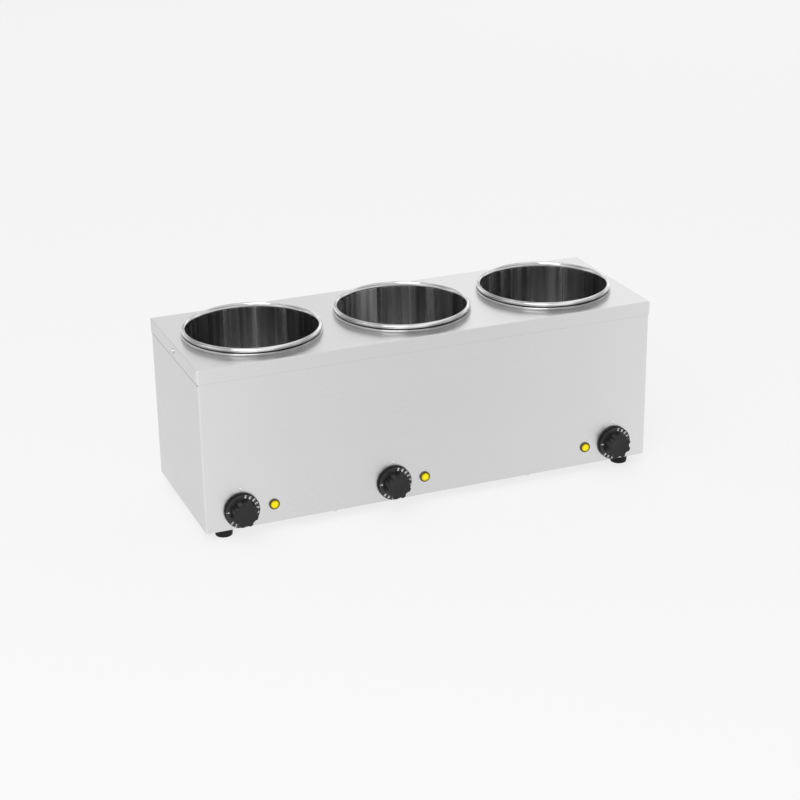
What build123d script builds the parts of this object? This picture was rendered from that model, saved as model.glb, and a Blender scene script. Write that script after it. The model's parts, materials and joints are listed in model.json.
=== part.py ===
# Soup warmer: a bent sheet case with three round wells in a row, each with a lift-out pot, a heater
# under it and a thermostat dial on the front. Millimetres, Z up, X along the case, controls facing -Y.
# The floor is Z = 0 and the origin is midway between the dials' faces and the cable gland's end.
from build123d import *
import math
import os

os.makedirs("parts", exist_ok=True)

# Case
case_length = 680.0
case_depth = 232.0
case_height = 240.0
sheet = 1.0
cover_skirt = 20.0
cover_play = 0.2
cover_edge_radius = 1.6
bend_radius = 2.2
flange_width = 12.0
base_inset = 2.0
rear_inset = 0.8

# Feet
foot_height = 14.0
foot_radius = 13.3
foot_taper = 1.3
foot_recess_radius = 6.0
foot_recess_depth = 8.0
foot_inset_x = 32.0
foot_inset_y = 22.0

# Wells and pots
strip_share = 27 / 43
well_sides = (-1, -1, 1)
pot_radius = 91.4
pot_sheet = 0.8
pot_depth = 175.0
pot_corner_radius = 16.0
pot_play = 1.2
rim_bead_radius = 3.4
rim_lip_depth = 9.0
pot_seat_gap = 0.3
well_floor_gap = 8.0
well_hole_play = 0.3
collar_height = 4.0
collar_lip = 0.8
collar_round = 1.4

# Heaters
heater_radius = 72.0
heater_thickness = 10.0
heater_tab_spread = 80.0
heater_block_length = 12.0
heater_block_width = 6.0
heater_block_height = 4.0
heater_bevel = 1.0
stud_radius = 3.0
stud_length = 20.0
heater_nut_across = 10.0
heater_nut_height = 5.0
clamp_length = 150.0
clamp_width = 22.0
clamp_thickness = 2.0
cutout_radius = 8.0
cutout_height = 9.0
cutout_x = 32.0
cutout_y = 30.0
cutout_foot_length = 24.0
cutout_foot_thickness = 0.8
tab_length = 8.0
tab_width = 6.3
tab_thickness = 0.8

# Dials and thermostats
dial_offset = 62.0
dial_rise = 28.0
dial_reach = 21.0
skirt_radius = 25.0
skirt_face = 5.5
skirt_gap = 1.0
skirt_bevel = 0.8
skirt_recess = 3.2
skirt_wall = 2.2
hub_radius = 7.5
grip_radius = 18.7
grip_lobes = 8
lobe_cut_radius = 4.6
lobe_cut_depth = 2.8
lobe_round = 1.6
grip_edge_round = 1.2
shaft_radius = 3.0
shaft_flat = 1.6
shaft_cap = 4.0
shaft_in_body = 14.0
shaft_play = 0.05
knob_bore_play = 0.02
panel_hole_radius = 5.0
thermostat_width = 34.0
thermostat_height = 38.0
thermostat_depth = 22.0
thermostat_plate = 1.5
thermostat_plate_length = 40.0
thermostat_plate_width = 16.0
thermostat_screw_spacing = 28.0
thermostat_tab_columns = 18.0
thermostat_tab_rows = 20.0
index_rise = 31.0
index_radius = 2.0
index_height = 0.9
index_shank = 1.0

# Capillaries
bulb_radius = 3.0
bulb_length = 80.0
bulb_height = 108.0
bulb_play = 0.3
capillary_radius = 1.0
capillary_bend = 12.0
clip_height = 14.0
clip_wall = 1.0

# Lamps
lamp_offset = 15.0
lamp_flange_radius = 7.6
lamp_flange = 2.2
lamp_lens_radius = 5.8
lamp_lens_seat = 1.7
lamp_dome = 1.4
lamp_barrel_radius = 6.2
lamp_barrel_length = 20.0
lamp_bore_radius = 4.6
lamp_nut_height = 4.0
lamp_nut_across = 17.0

# Mains inlet
gland_from_end = 62.0
gland_rise = 42.0
gland_bore_radius = 4.0
gland_thread_radius = 8.0
gland_hex_across = 22.0
gland_hex_height = 5.0
gland_inner_length = 10.0
gland_spigot_length = 9.0
gland_cap_radius = 10.6
gland_cap_length = 17.0
gland_cap_wall = 2.4
gland_spigot_radius = 7.2
gland_seal_play = 0.3
gland_nut_height = 5.0
terminal_length = 42.0
terminal_width = 22.0
terminal_height = 17.0
terminal_poles = 3
terminal_well_depth = 12.0
terminal_entry_radius = 2.4
terminal_entry_rise = 5.5
terminal_well_radius = 3.2
terminal_from_rear = 46.0
earth_stud_radius = 2.5
earth_stud_length = 18.0
earth_offset = 48.0
earth_nut_across = 8.0
earth_nut_height = 4.0
earth_washer_radius = 5.0

# Screws
screw_radius = 1.6
screw_head_radius = 3.8
screw_head_height = 2.2
screw_length = 8.0
screw_play = 0.1
foot_screw_radius = 2.0
foot_screw_head_height = 3.0
nut_across = 7.0
nut_height = 3.2
recess_width = 0.9
recess_depth = 1.0
rear_screw_pitch = 70.0
base_screw_from_end = 190.0
cover_screw_drop = 11.0

# Vent slots
slot_length = 26.0
slot_width = 4.0
slot_pitch_x = 40.0
slot_pitch_y = 12.0
vent_columns = 4
vent_rows = 4
rear_vent_columns = 12
rear_vent_drop = 45.0

# Heights
case_bottom = foot_height
body_bottom = case_bottom + sheet
cover_top = case_bottom + case_height
cover_under = cover_top - sheet
body_top = cover_under - cover_play
collar_top = cover_top + collar_height
rim_bottom = collar_top + pot_seat_gap
rim_centre_height = rim_bottom + rim_bead_radius
rim_top = rim_centre_height + rim_bead_radius
pot_inside_bottom = rim_top - pot_depth
pot_underside = pot_inside_bottom - pot_sheet
well_inside_bottom = pot_underside - well_floor_gap
well_underside = well_inside_bottom - sheet
heater_bottom = well_underside - heater_thickness
clamp_bottom = heater_bottom - clamp_thickness
dial_height = case_bottom + dial_rise
cover_screw_height = cover_top - cover_screw_drop

# Radii of the wells and pots
pot_outside_radius = pot_radius + pot_sheet
rim_centre_radius = pot_radius + rim_bead_radius
rim_outside_radius = rim_centre_radius + rim_bead_radius
rim_root = math.sqrt(rim_bead_radius ** 2 - (rim_centre_radius - pot_outside_radius) ** 2)
rim_root_angle = math.degrees(math.atan2(-rim_root, pot_outside_radius - rim_centre_radius))
pot_inner_corner = pot_corner_radius - pot_sheet
well_radius = pot_outside_radius + pot_play
well_outside_radius = well_radius + sheet
well_hole_radius = well_outside_radius + well_hole_play
collar_radius = rim_outside_radius + collar_lip

# Plan of the case
body_length = case_length - 2 * (sheet + cover_play)
body_depth = case_depth - 2 * (sheet + cover_play)
gland_reach = gland_hex_height + gland_cap_length
case_y = (dial_reach - gland_reach) / 2
front_face = case_y - body_depth / 2
rear_face = case_y + body_depth / 2
wrap_depth = body_depth - sheet
wrap_y = front_face + wrap_depth / 2
free_length = case_length / 2 - 3 * collar_radius
well_strip = strip_share * free_length
well_pitch = 2 * collar_radius + well_strip
wells = list(zip((-well_pitch, 0.0, well_pitch), well_sides))
foot_x = case_length / 2 - foot_inset_x
foot_y = case_depth / 2 - foot_inset_y
foot_places = [(x, case_y + y) for x in (-foot_x, foot_x) for y in (-foot_y, foot_y)]
flange_line = sheet + (flange_width - sheet) / 2
side_screw_x = body_length / 2 - flange_line
base_screw_y = body_depth / 2 - flange_line
base_screw_x = case_length / 2 - base_screw_from_end
base_screw_places = [(x, case_y + y) for x in (-base_screw_x, base_screw_x)
                     for y in (-base_screw_y, base_screw_y)]
base_screw_places += [(x, case_y) for x in (-side_screw_x, side_screw_x)]
rear_screw_heights = [dial_height + step * rear_screw_pitch for step in range(3)]
gland_x = case_length / 2 - gland_from_end
gland_height = case_bottom + gland_rise


def front_plane(x, z, out=0.0):
    """Plane on the front panel's outer face, its normal towards the user, moved out by `out`."""
    return Plane(origin=(x, front_face - out, z), x_dir=(1, 0, 0), z_dir=(0, -1, 0))


def rear_plane(x, z, out=0.0):
    """Plane on the rear panel's outer face, its normal away from the case, moved out by `out`."""
    return Plane(origin=(x, rear_face + out, z), x_dir=(-1, 0, 0), z_dir=(0, 1, 0))


def side_plane(side):
    """Plane on the cover's skirt at one end of the case, at the cover screw."""
    return Plane(origin=(side * case_length / 2, case_y, cover_screw_height),
                 x_dir=(0, side, 0), z_dir=(side, 0, 0))


def pan_screw(radius, length, head_radius, head_height):
    """Pan-head screw with a cross recess: its head stands on Z = 0 and its shank hangs below."""
    with BuildPart() as screw:
        with BuildSketch():
            Circle(head_radius)
        extrude(amount=head_height)
        fillet(screw.edges().group_by(Axis.Z)[-1], head_height / 2)
        with BuildSketch():
            Circle(radius)
        extrude(amount=-length)
        with BuildSketch(Plane.XY.offset(head_height)):
            Rectangle(head_radius, recess_width)
            Rectangle(recess_width, head_radius)
        extrude(amount=-recess_depth, mode=Mode.SUBTRACT)
    return screw.part


def hex_nut(across, height, bore_radius):
    """Hexagon nut that stands on Z = 0."""
    with BuildPart() as nut:
        with BuildSketch():
            RegularPolygon(across / 2, 6, major_radius=False)
            Circle(bore_radius, mode=Mode.SUBTRACT)
        extrude(amount=height)
    return nut.part


def save(node, name):
    """Label a finished node and write its file."""
    node.part.label = name
    export_step(node.part, f"parts/{name}.step")


# Case wrap: the front and both ends bent from one sheet, with flanges at the rear and the bottom
with BuildPart() as case_wrap:
    with BuildSketch(Plane.XY.offset(body_bottom)) as wrap_plan:
        with Locations((0, wrap_y)):
            Rectangle(body_length, wrap_depth)
        fillet(wrap_plan.vertices().group_by(Axis.Y)[0], bend_radius)
        offset(amount=-sheet, mode=Mode.SUBTRACT)
        with Locations((0, wrap_y + wrap_depth / 2)):
            Rectangle(body_length - 2 * flange_width, 4 * sheet, mode=Mode.SUBTRACT)
    extrude(amount=body_top - body_bottom)
    with BuildSketch(Plane.XY.offset(body_bottom)) as wrap_flange:
        with Locations((0, wrap_y)):
            Rectangle(body_length, wrap_depth)
        fillet(wrap_flange.vertices().group_by(Axis.Y)[0], bend_radius)
        with Locations((0, wrap_y + flange_width)):
            Rectangle(body_length - 2 * flange_width, wrap_depth, mode=Mode.SUBTRACT)
    extrude(amount=sheet)
    for x, side in wells:
        dial_x = x + side * dial_offset
        with BuildSketch(front_plane(dial_x, dial_height)):
            Circle(panel_hole_radius)
            with GridLocations(thermostat_screw_spacing, 0, 2, 1):
                Circle(screw_radius + screw_play)
            with Locations((0, index_rise)):
                Circle(index_shank + shaft_play)
        extrude(amount=-sheet, mode=Mode.SUBTRACT)
        with BuildSketch(front_plane(x + side * lamp_offset, dial_height)):
            Circle(lamp_barrel_radius + screw_play)
        extrude(amount=-sheet, mode=Mode.SUBTRACT)
    with BuildSketch(Plane.XY.offset(body_bottom)):
        with Locations(*[place for place in base_screw_places if place[1] < case_y + 1]):
            Circle(screw_radius + shaft_play)
    extrude(amount=sheet, mode=Mode.SUBTRACT)
    for side in (-1, 1):
        with BuildSketch(Plane.XZ.offset(-rear_face)):
            with Locations(*[(side * side_screw_x, z) for z in rear_screw_heights]):
                Circle(screw_radius + shaft_play)
        extrude(amount=flange_width, mode=Mode.SUBTRACT)
        with BuildSketch(side_plane(side)):
            Circle(screw_radius + shaft_play)
        extrude(amount=-flange_width, mode=Mode.SUBTRACT)
save(case_wrap, "case_wrap")

# Rear panel: a flat sheet with a bottom flange, vent slots and the cable gland's hole
with BuildPart() as rear_panel:
    with BuildSketch(rear_plane(0, (body_bottom + body_top) / 2)):
        Rectangle(body_length - 2 * rear_inset, body_top - body_bottom)
    extrude(amount=-sheet)
    rear_flange_length = body_length - 2 * (flange_width + cover_play)
    with BuildSketch(Plane.XY.offset(body_bottom)):
        with Locations((0, rear_face - flange_width / 2)):
            Rectangle(rear_flange_length, flange_width)
    extrude(amount=sheet)
    with BuildSketch(Plane.XY.offset(body_bottom)):
        with Locations(*[place for place in base_screw_places if place[1] > case_y + 1]):
            Circle(screw_radius + shaft_play)
    extrude(amount=sheet, mode=Mode.SUBTRACT)
    with BuildSketch(rear_plane(0, cover_top - rear_vent_drop)):
        with GridLocations(slot_pitch_x, slot_pitch_y, rear_vent_columns, 2):
            SlotOverall(slot_length, slot_width)
    extrude(amount=-sheet, mode=Mode.SUBTRACT)
    with BuildSketch(rear_plane(0, 0)):
        with Locations(*[(x, z) for x in (-side_screw_x, side_screw_x) for z in rear_screw_heights]):
            Circle(screw_radius + screw_play)
        with Locations((-gland_x, gland_height)):
            Circle(gland_thread_radius + screw_play)
    extrude(amount=-sheet, mode=Mode.SUBTRACT)
save(rear_panel, "rear_panel")

# Base plate: closes the case from below, with vent slots under each heater
with BuildPart() as base_plate:
    with BuildSketch(Plane.XY.offset(case_bottom)):
        with Locations((0, case_y)):
            RectangleRounded(body_length - 2 * base_inset, body_depth - 2 * base_inset, bend_radius)
        with Locations(*foot_places):
            Circle(foot_screw_radius + screw_play, mode=Mode.SUBTRACT)
        with Locations(*base_screw_places):
            Circle(screw_radius + screw_play, mode=Mode.SUBTRACT)
        for x, _ in wells:
            with Locations((x, case_y)):
                with GridLocations(slot_pitch_x, slot_pitch_y, vent_columns, vent_rows):
                    SlotOverall(slot_length, slot_width, mode=Mode.SUBTRACT)
    extrude(amount=sheet)
save(base_plate, "base_plate")

# Top cover: a shallow tray upside down over the case, with a hole for each well
with BuildPart() as top_cover:
    with BuildSketch(Plane.XY.offset(cover_top - cover_skirt)):
        with Locations((0, case_y)):
            RectangleRounded(case_length, case_depth, bend_radius)
    extrude(amount=cover_skirt)
    fillet(top_cover.faces().sort_by(Axis.Z)[-1].edges(), cover_edge_radius)
    offset(amount=-sheet, openings=top_cover.faces().sort_by(Axis.Z)[0])
    with BuildSketch(Plane.XY.offset(cover_top)):
        with Locations(*[(x, case_y) for x, _ in wells]):
            Circle(well_hole_radius)
    extrude(amount=-sheet, mode=Mode.SUBTRACT)
    for side in (-1, 1):
        with BuildSketch(side_plane(side)):
            Circle(screw_radius + screw_play)
        extrude(amount=-2 * sheet, mode=Mode.SUBTRACT)
save(top_cover, "top_cover")

# Wells, pots and heaters
for number, (x, side) in enumerate(wells, 1):
    # Well: a deep-drawn cup hung from the cover by its collar, with the heater's stud under it
    with BuildPart() as well:
        with BuildSketch(Plane((x, case_y, well_underside))):
            Circle(well_outside_radius)
        extrude(amount=cover_top - well_underside)
        fillet(well.edges().sort_by(Axis.Z)[0], pot_corner_radius + pot_play + sheet)
        offset(amount=-sheet, openings=well.faces().sort_by(Axis.Z)[-1])
        with BuildSketch(Plane((x, case_y, cover_top))):
            Circle(collar_radius)
            Circle(well_radius, mode=Mode.SUBTRACT)
        extrude(amount=collar_height)
        fillet(well.edges().group_by(Axis.Z)[-1].sort_by(SortBy.RADIUS)[-1], collar_round)
        with BuildSketch(Plane((x, case_y, well_underside))):
            Circle(stud_radius)
        extrude(amount=-stud_length)
    save(well, f"well_{number}")

    # Pot: a thin cup that hangs in the well by its rolled rim, turned from its half section
    with BuildPart() as pot:
        with BuildSketch(Plane((x, case_y, 0), x_dir=(1, 0, 0), z_dir=(0, -1, 0))):
            with BuildLine():
                Line((0, pot_underside), (pot_outside_radius - pot_corner_radius, pot_underside))
                CenterArc((pot_outside_radius - pot_corner_radius, pot_underside + pot_corner_radius),
                          pot_corner_radius, -90, 90)
                Line((pot_outside_radius, pot_underside + pot_corner_radius),
                     (pot_outside_radius, rim_centre_height - rim_root))
                CenterArc((rim_centre_radius, rim_centre_height), rim_bead_radius,
                          rim_root_angle, 90 - rim_root_angle)
                EllipticalCenterArc((rim_centre_radius, rim_top - rim_lip_depth),
                                    rim_bead_radius, rim_lip_depth, 90, arc_size=90)
                Line((pot_radius, rim_top - rim_lip_depth), (pot_radius, pot_inside_bottom + pot_inner_corner))
                CenterArc((pot_radius - pot_inner_corner, pot_inside_bottom + pot_inner_corner),
                          pot_inner_corner, 0, -90)
                Line((pot_radius - pot_inner_corner, pot_inside_bottom), (0, pot_inside_bottom))
                Line((0, pot_inside_bottom), (0, pot_underside))
            make_face()
        revolve(axis=Axis((x, case_y, 0), (0, 0, 1)))
    save(pot, f"pot_{number}")

    # Heater: a flat plate clamped under the well, with two terminal blocks
    with BuildPart() as heater:
        with BuildSketch(Plane((x, case_y, heater_bottom))):
            Circle(heater_radius)
        extrude(amount=heater_thickness)
        chamfer(heater.edges().group_by(Axis.Z)[0], heater_bevel)
        with BuildSketch(Plane((x, case_y, heater_bottom))):
            with GridLocations(0, heater_tab_spread, 1, 2):
                Rectangle(heater_block_length, heater_block_width)
        extrude(amount=-heater_block_height)
        with BuildSketch(Plane((x, case_y, heater_bottom - heater_block_height))):
            with GridLocations(0, heater_tab_spread, 1, 2):
                Rectangle(tab_width, tab_thickness)
        extrude(amount=-tab_length)
        with BuildSketch(Plane((x, case_y, heater_bottom))):
            Circle(stud_radius + screw_play)
        extrude(amount=heater_thickness, mode=Mode.SUBTRACT)
    save(heater, f"heater_{number}")

    with BuildPart() as heater_clamp:
        with BuildSketch(Plane((x, case_y, clamp_bottom))):
            SlotOverall(clamp_length, clamp_width)
            Circle(stud_radius + screw_play, mode=Mode.SUBTRACT)
        extrude(amount=clamp_thickness)
    save(heater_clamp, f"heater_clamp_{number}")

    # Over-temperature cut-out: a round thermal switch held flat on the heater
    with BuildPart() as cutout:
        cutout_place = (x + cutout_x, case_y + cutout_y)
        with BuildSketch(Plane((*cutout_place, heater_bottom))):
            SlotOverall(cutout_foot_length, 2 * cutout_radius - cutout_foot_thickness)
        extrude(amount=-cutout_foot_thickness)
        with BuildSketch(Plane((*cutout_place, heater_bottom))):
            Circle(cutout_radius)
        extrude(amount=-cutout_height)
        with BuildSketch(Plane((*cutout_place, heater_bottom - cutout_height))):
            with GridLocations(0, cutout_radius, 1, 2):
                Rectangle(tab_width, tab_thickness)
        extrude(amount=-tab_length)
    save(cutout, f"cutout_{number}")

# Thermostats, dials and lamps
body_back = sheet + thermostat_plate + thermostat_depth
shaft_end = dial_reach - shaft_cap - knob_bore_play
shaft_start = sheet + thermostat_plate + shaft_in_body - shaft_play
for number, (x, side) in enumerate(wells, 1):
    dial_x = x + side * dial_offset
    lamp_x = x + side * lamp_offset

    # Thermostat: a switch body on a plate behind the panel, with push-on terminals
    with BuildPart() as thermostat:
        with BuildSketch(front_plane(dial_x, dial_height, -sheet)):
            Rectangle(thermostat_plate_length, thermostat_plate_width)
            with GridLocations(thermostat_screw_spacing, 0, 2, 1):
                Circle(screw_radius + shaft_play, mode=Mode.SUBTRACT)
        extrude(amount=-thermostat_plate)
        with BuildSketch(front_plane(dial_x, dial_height, -sheet - thermostat_plate)):
            Rectangle(thermostat_width, thermostat_height)
            with GridLocations(thermostat_screw_spacing, 0, 2, 1):
                Circle(screw_radius + screw_play, mode=Mode.SUBTRACT)
        extrude(amount=-thermostat_depth)
        with BuildSketch(front_plane(dial_x, dial_height, -body_back)):
            with GridLocations(thermostat_tab_columns, thermostat_tab_rows, 2, 2):
                Rectangle(tab_width, tab_thickness)
        extrude(amount=-tab_length)
        with BuildSketch(front_plane(dial_x, dial_height, -sheet)):
            Circle(shaft_radius + shaft_play)
        extrude(amount=-(thermostat_plate + shaft_in_body), mode=Mode.SUBTRACT)
    save(thermostat, f"thermostat_{number}")

    # Shaft: turns with the dial, round in the thermostat and flatted inside the knob
    with BuildPart() as shaft:
        with BuildSketch(front_plane(dial_x, dial_height, -shaft_start)):
            Circle(shaft_radius)
        extrude(amount=shaft_start + shaft_end)
        with BuildSketch(front_plane(dial_x, dial_height, skirt_gap - shaft_play)):
            with Locations((0, shaft_flat)):
                Rectangle(2 * shaft_radius, shaft_radius, align=(Align.CENTER, Align.MIN))
        extrude(amount=dial_reach, mode=Mode.SUBTRACT)
    save(shaft, f"thermostat_shaft_{number}")

    # Dial: a round skirt that carries the scale and a lobed grip, hollow behind to clear the screws
    with BuildPart() as dial:
        with BuildSketch(front_plane(dial_x, dial_height, skirt_gap)):
            Circle(skirt_radius)
        extrude(amount=skirt_face - skirt_gap)
        chamfer(dial.edges().group_by(Axis.Y)[0], skirt_bevel)
        with BuildSketch(front_plane(dial_x, dial_height, skirt_gap)):
            Circle(skirt_radius - skirt_wall)
            Circle(hub_radius, mode=Mode.SUBTRACT)
        extrude(amount=skirt_recess, mode=Mode.SUBTRACT)
        with BuildSketch(front_plane(dial_x, dial_height, skirt_face)) as grip:
            Circle(grip_radius)
            with PolarLocations(grip_radius + lobe_cut_radius - lobe_cut_depth, grip_lobes):
                Circle(lobe_cut_radius, mode=Mode.SUBTRACT)
            fillet(grip.vertices(), lobe_round)
        extrude(amount=dial_reach - skirt_face)
        fillet(dial.faces().sort_by(Axis.Y)[0].edges(), grip_edge_round)
        with BuildSketch(front_plane(dial_x, dial_height, skirt_gap)):
            Circle(shaft_radius + knob_bore_play)
            with Locations((0, shaft_flat + knob_bore_play)):
                Rectangle(2 * skirt_radius, skirt_radius, align=(Align.CENTER, Align.MIN), mode=Mode.SUBTRACT)
        extrude(amount=dial_reach - shaft_cap - skirt_gap, mode=Mode.SUBTRACT)
    save(dial, f"dial_{number}")

    # Capillary and bulb: from the thermostat round to the well's side, in one sealed piece
    bulb_x = x - side * (well_outside_radius + bulb_play + bulb_radius)
    tube_start_y = front_face + body_back
    tube_run_y = tube_start_y + 2 * capillary_bend
    with BuildPart() as capillary:
        with BuildLine() as tube_path:
            FilletPolyline(
                (dial_x, tube_start_y, dial_height),
                (dial_x, tube_run_y, dial_height),
                (bulb_x, tube_run_y, dial_height),
                (bulb_x, case_y, dial_height),
                (bulb_x, case_y, bulb_height),
                radius=capillary_bend,
            )
        with BuildSketch(front_plane(dial_x, dial_height, -body_back)):
            Circle(capillary_radius)
        sweep()
        with BuildSketch(Plane((bulb_x, case_y, bulb_height - capillary_radius))):
            Circle(bulb_radius)
        extrude(amount=bulb_length)
        fillet(capillary.edges().group_by(Axis.Z)[-1], bulb_radius / 2)
    save(capillary, f"capillary_bulb_{number}")

    # Lamp: a bezel with a threaded barrel through the panel and push-on terminals behind
    with BuildPart() as lamp_bezel:
        with BuildSketch(front_plane(lamp_x, dial_height)):
            Circle(lamp_flange_radius)
        extrude(amount=lamp_flange)
        chamfer(lamp_bezel.edges().group_by(Axis.Y)[0], lamp_flange / 4)
        with BuildSketch(front_plane(lamp_x, dial_height)):
            Circle(lamp_barrel_radius)
        extrude(amount=-lamp_barrel_length)
        with BuildSketch(front_plane(lamp_x, dial_height, -lamp_barrel_length)):
            with GridLocations(lamp_barrel_radius, 0, 2, 1):
                Rectangle(tab_thickness, tab_width)
        extrude(amount=-tab_length)
        with BuildSketch(front_plane(lamp_x, dial_height, lamp_flange)):
            Circle(lamp_lens_radius + shaft_play)
        extrude(amount=-lamp_lens_seat, mode=Mode.SUBTRACT)
        with BuildSketch(front_plane(lamp_x, dial_height, lamp_flange)):
            Circle(lamp_bore_radius)
        extrude(amount=-lamp_barrel_length, mode=Mode.SUBTRACT)
    save(lamp_bezel, f"lamp_bezel_{number}")

    with BuildPart() as lamp_lens:
        with BuildSketch(front_plane(lamp_x, dial_height, lamp_flange - lamp_lens_seat)):
            Circle(lamp_lens_radius)
        extrude(amount=lamp_lens_seat + lamp_dome)
        fillet(lamp_lens.edges().group_by(Axis.Y)[0], lamp_dome)
        with BuildSketch(front_plane(lamp_x, dial_height, lamp_flange - lamp_lens_seat)):
            Circle(lamp_bore_radius - shaft_play)
        extrude(amount=-lamp_barrel_length / 3)
    save(lamp_lens, f"lamp_lens_{number}")

# Clips that hold the bulbs to the wells
with BuildPart() as bulb_clips:
    for x, side in wells:
        bulb_x = x - side * (well_outside_radius + bulb_play + bulb_radius)
        with BuildSketch(Plane((bulb_x, case_y, bulb_height + (bulb_length - clip_height) / 2))):
            Circle(bulb_radius + bulb_play + clip_wall)
            with Locations((side * bulb_radius / 2, 0)):
                Rectangle(bulb_radius, 6 * bulb_radius)
            Circle(bulb_radius + bulb_play / 2, mode=Mode.SUBTRACT)
            with Locations((x - bulb_x, 0)):
                Circle(well_outside_radius + shaft_play, mode=Mode.SUBTRACT)
        extrude(amount=clip_height)
save(bulb_clips, "bulb_clips")

# Feet: rubber bumpers with a recess for the screw
for name, (x, y) in zip(("front_left", "rear_left", "front_right", "rear_right"), foot_places):
    with BuildPart() as foot:
        with BuildSketch(Plane((x, y, 0))):
            Circle(foot_radius - foot_taper)
        with BuildSketch(Plane((x, y, foot_height))):
            Circle(foot_radius)
        loft()
        fillet(foot.edges().group_by(Axis.Z)[0], foot_taper)
        with BuildSketch(Plane((x, y, 0))):
            Circle(foot_recess_radius)
        extrude(amount=foot_recess_depth, mode=Mode.SUBTRACT)
        with BuildSketch(Plane((x, y, 0))):
            Circle(foot_screw_radius + screw_play)
        extrude(amount=foot_height, mode=Mode.SUBTRACT)
    save(foot, f"foot_{name}")

# Mains inlet: a compression gland in the rear panel
with BuildPart() as gland_body:
    with BuildSketch(rear_plane(gland_x, gland_height)):
        RegularPolygon(gland_hex_across / 2, 6, major_radius=False)
    extrude(amount=gland_hex_height)
    with BuildSketch(rear_plane(gland_x, gland_height)):
        Circle(gland_spigot_radius)
    extrude(amount=gland_hex_height + gland_spigot_length)
    with BuildSketch(rear_plane(gland_x, gland_height)):
        Circle(gland_thread_radius)
    extrude(amount=-(sheet + gland_inner_length))
    with BuildSketch(rear_plane(gland_x, gland_height)):
        Circle(gland_bore_radius)
    extrude(amount=gland_reach, both=True, mode=Mode.SUBTRACT)
save(gland_body, "gland_body")

with BuildPart() as gland_cap:
    with BuildSketch(rear_plane(gland_x, gland_height, gland_hex_height)):
        Circle(gland_cap_radius)
    extrude(amount=gland_cap_length)
    fillet(gland_cap.edges().group_by(Axis.Y)[-1], gland_cap_wall)
    with BuildSketch(rear_plane(gland_x, gland_height, gland_hex_height)):
        Circle(gland_spigot_radius + screw_play)
    extrude(amount=gland_cap_length - gland_cap_wall, mode=Mode.SUBTRACT)
    with BuildSketch(rear_plane(gland_x, gland_height, gland_hex_height)):
        Circle(gland_bore_radius)
    extrude(amount=gland_cap_length, mode=Mode.SUBTRACT)
save(gland_cap, "gland_cap")

with BuildPart() as gland_seal:
    with BuildSketch(rear_plane(gland_x, gland_height, gland_hex_height + gland_spigot_length)):
        Circle(gland_spigot_radius - gland_seal_play)
        Circle(gland_bore_radius, mode=Mode.SUBTRACT)
    extrude(amount=gland_cap_length - gland_cap_wall - gland_spigot_length)
save(gland_seal, "gland_seal")

gland_nut_place = Plane(origin=(gland_x, rear_face - sheet, gland_height), x_dir=(1, 0, 0), z_dir=(0, -1, 0))
gland_nut_shape = hex_nut(gland_hex_across, gland_nut_height, gland_thread_radius + shaft_play)
with BuildPart() as gland_nut:
    with Locations(gland_nut_place):
        add(gland_nut_shape)
save(gland_nut, "gland_nut")

# Terminal block and earth stud on the base plate, beside the gland
terminal_y = rear_face - terminal_from_rear
with BuildPart() as terminal_block:
    with BuildSketch(Plane((gland_x, terminal_y, body_bottom))):
        RectangleRounded(terminal_length, terminal_width, terminal_width / 10)
    extrude(amount=terminal_height)
    with BuildSketch(Plane((gland_x, terminal_y, body_bottom + terminal_height))):
        with GridLocations(terminal_length / terminal_poles, 0, terminal_poles, 1):
            Circle(terminal_well_radius)
    extrude(amount=-terminal_well_depth, mode=Mode.SUBTRACT)
    with BuildSketch(Plane.XZ.offset(-terminal_y)):
        with Locations((gland_x, body_bottom + terminal_entry_rise)):
            with GridLocations(terminal_length / terminal_poles, 0, terminal_poles, 1):
                Circle(terminal_entry_radius)
    extrude(amount=terminal_width, both=True, mode=Mode.SUBTRACT)
save(terminal_block, "terminal_block")

earth_plane = Plane((gland_x - earth_offset, terminal_y, body_bottom))
earth_nut_shape = hex_nut(earth_nut_across, earth_nut_height, earth_stud_radius + shaft_play)
with BuildPart() as earth_stud:
    with BuildSketch(earth_plane):
        Circle(earth_stud_radius)
    extrude(amount=earth_stud_length)
    with BuildSketch(earth_plane):
        Circle(earth_washer_radius)
        Circle(earth_stud_radius + shaft_play, mode=Mode.SUBTRACT)
    extrude(amount=sheet)
    with Locations(earth_plane.offset(sheet)):
        add(earth_nut_shape)
save(earth_stud, "earth_stud")

# Fasteners, one node for each kind
case_screw = pan_screw(screw_radius, screw_length, screw_head_radius, screw_head_height)
foot_screw = pan_screw(foot_screw_radius, foot_height - foot_recess_depth + sheet + nut_height + sheet,
                       screw_head_radius, foot_screw_head_height)
foot_nut = hex_nut(nut_across, nut_height, foot_screw_radius + shaft_play)
heater_nut = hex_nut(heater_nut_across, heater_nut_height, stud_radius + shaft_play)
lamp_nut = hex_nut(lamp_nut_across, lamp_nut_height, lamp_barrel_radius + shaft_play)
below = {"x_dir": (1, 0, 0), "z_dir": (0, 0, -1)}
thermostat_screw_places = [
    front_plane(x + side * dial_offset + step * thermostat_screw_spacing / 2, dial_height)
    for x, side in wells for step in (-1, 1)]
lamp_nut_places = [
    Plane(origin=(x + side * lamp_offset, front_face + sheet, dial_height), x_dir=(1, 0, 0), z_dir=(0, 1, 0))
    for x, side in wells]
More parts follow.
